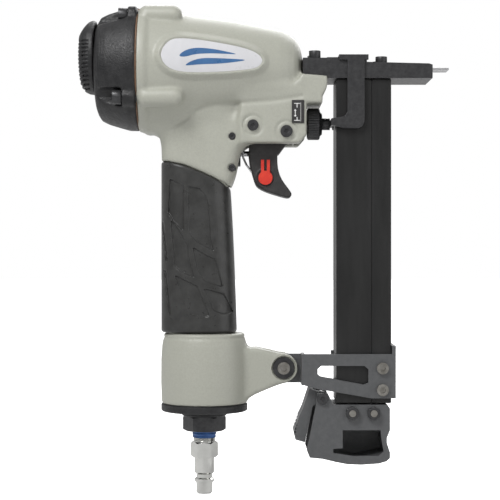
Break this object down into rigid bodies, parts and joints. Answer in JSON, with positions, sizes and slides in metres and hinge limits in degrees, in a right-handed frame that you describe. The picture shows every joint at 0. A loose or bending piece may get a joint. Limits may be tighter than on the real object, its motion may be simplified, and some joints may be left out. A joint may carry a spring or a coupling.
{
  "type": "flooring nailer",
  "caption": "Pneumatic flooring nailer with vertical handle and magazine, safety contact arm, depth wheel, air plug and sliding magazine drawer.",
  "frame": {"origin": "on the driver axis in the plane of the nose's work face", "axes": "+X is the driving direction, +Z runs from the air inlet up to the barrel, +Y across the tool"},
  "size_m": [0.2166, 0.072, 0.2853],
  "materials": {
    "paint": "satin grainy grey-green paint",
    "cast_black": "matte rough black",
    "grip": "matte textured rubber",
    "plastic_black": "fine matte texture",
    "black_steel": "black oxide",
    "steel": "ground steel",
    "chrome": "polished",
    "red_plastic": "satin red",
    "badge": "gloss white",
    "seal": "matte",
    "gasket": "matte fibre",
    "sealant": "matte blue",
    "aluminium": "machined"
  },
  "bodies": {
    "root": {"body_housing": "paint", "grip_sleeve": "grip", "head_cap": "cast_black", "head_gasket": "gasket", "head_cap_screws": "black_steel", "cylinder_liner": "aluminium", "liner_o_rings": "seal", "bumper": "seal", "head_valve_spring": "steel", "exhaust_screw": "black_steel", "nose_body": "black_steel", "nose_front_plate": "black_steel", "nose_screws": "black_steel", "safety_spring": "steel", "depth_plate": "plastic_black", "side_badge": "badge", "guide_pin": "black_steel", "trigger_pivot_pin": "black_steel", "trigger_spring": "steel", "valve_bushing": "plastic_black", "valve_spring": "steel", "valve_pins": "black_steel", "end_cap": "plastic_black", "end_cap_gasket": "seal", "inlet_bushing": "black_steel", "thread_seal": "sealant", "air_plug": "chrome", "magazine_rear_channel": "cast_black", "magazine_front_channel": "cast_black", "magazine_bracket": "cast_black", "bracket_screws": "black_steel", "bracket_bolt": "steel", "bracket_washer": "black_steel", "bracket_bush": "steel", "bracket_nut": "steel"},
    "exhaust": {"exhaust_cover": "cast_black"},
    "head_valve": {"head_valve": "plastic_black"},
    "driver": {"piston": "aluminium", "piston_o_ring": "seal", "driver_blade": "steel"},
    "trigger": {"trigger": "plastic_black"},
    "selector": {"mode_selector": "red_plastic"},
    "lever": {"contact_lever": "steel"},
    "valve": {"valve_stem": "steel", "valve_o_rings": "seal"},
    "safety": {"safety_yoke": "steel"},
    "wheel": {"depth_wheel": "black_steel"},
    "contact": {"contact_arm": "black_steel", "contact_tip": "steel", "contact_stem": "black_steel"},
    "drawer": {"magazine_rail": "steel", "pusher_spring": "steel", "end_cage": "cast_black", "end_block": "black_steel", "cage_bolts": "black_steel", "cage_nuts": "black_steel", "latch_pin": "black_steel", "latch_spring": "steel"},
    "pusher": {"pusher": "red_plastic"},
    "latch": {"latch_lever": "cast_black"}
  },
  "joints": [
    {"name": "exhaust_turn", "type": "hinge", "parent": "root", "child": "exhaust", "pos_m": [-0.2, 0, 0.007], "axis": [1, 0, 0], "continuous": true},
    {"name": "head_valve_slide", "type": "slide", "parent": "root", "child": "head_valve", "axis": [-1, 0, 0], "range_m": [0, 0.004], "stiffness_N_per_m": 1500, "springref_m": -0.004, "deforming": ["head_valve_spring"]},
    {"name": "driver_slide", "type": "slide", "parent": "root", "child": "driver", "axis": [1, 0, 0], "range_m": [0, 0.054]},
    {"name": "trigger_pull", "type": "hinge", "parent": "root", "child": "trigger", "pos_m": [-0.0846, 0, -0.0378], "axis": [0, 1, 0], "range_deg": [0, 12], "stiffness_Nm_per_rad": 0.4, "springref_deg": -14.32, "deforming": ["trigger_spring"]},
    {"name": "selector_turn", "type": "hinge", "parent": "trigger", "child": "selector", "pos_m": [-0.0966, 0, -0.0641], "axis": [0, 1, 0], "range_deg": [0, 25]},
    {"name": "contact_lever_tilt", "type": "hinge", "parent": "trigger", "child": "lever", "pos_m": [-0.0966, 0, -0.0641], "axis": [0, -1, 0], "range_deg": [0, 5]},
    {"name": "valve_stem_slide", "type": "slide", "parent": "root", "child": "valve", "axis": [-1, 0, 0], "range_m": [0, 0.0027], "deforming": ["valve_spring"]},
    {"name": "safety_slide", "type": "slide", "parent": "root", "child": "safety", "axis": [-1, 0, 0], "range_m": [0, 0.007], "stiffness_N_per_m": 300, "springref_m": -0.02, "deforming": ["safety_spring"]},
    {"name": "depth_wheel_turn", "type": "hinge", "parent": "safety", "child": "wheel", "pos_m": [-0.068, 0, -0.032], "axis": [1, 0, 0], "range_deg": [0, 720]},
    {"name": "depth_slide", "type": "slide", "parent": "safety", "child": "contact", "axis": [-1, 0, 0], "range_m": [0, 0.0025]},
    {"name": "drawer_slide", "type": "slide", "parent": "root", "child": "drawer", "axis": [0, 0, -1], "range_m": [0, 0.14]},
    {"name": "pusher_slide", "type": "slide", "parent": "drawer", "child": "pusher", "axis": [0, 0, -1], "range_m": [0, 0.13], "stiffness_N_per_m": 40, "springref_m": -0.04, "deforming": ["pusher_spring"]},
    {"name": "latch_press", "type": "hinge", "parent": "drawer", "child": "latch", "pos_m": [-0.0636, 0, -0.1923], "axis": [0, -1, 0], "range_deg": [0, 8], "stiffness_Nm_per_rad": 0.15, "springref_deg": -22.92, "deforming": ["latch_spring"]}
  ],
  "couplings": [
    {"joint": "contact_lever_tilt", "follows": "safety_slide", "rad_per_m": 12.4},
    {"joint": "valve_stem_slide", "follows": "trigger_pull", "m_per_rad": 0.0124},
    {"joint": "depth_slide", "follows": "depth_wheel_turn", "m_per_rad": 0.00019}
  ]
}
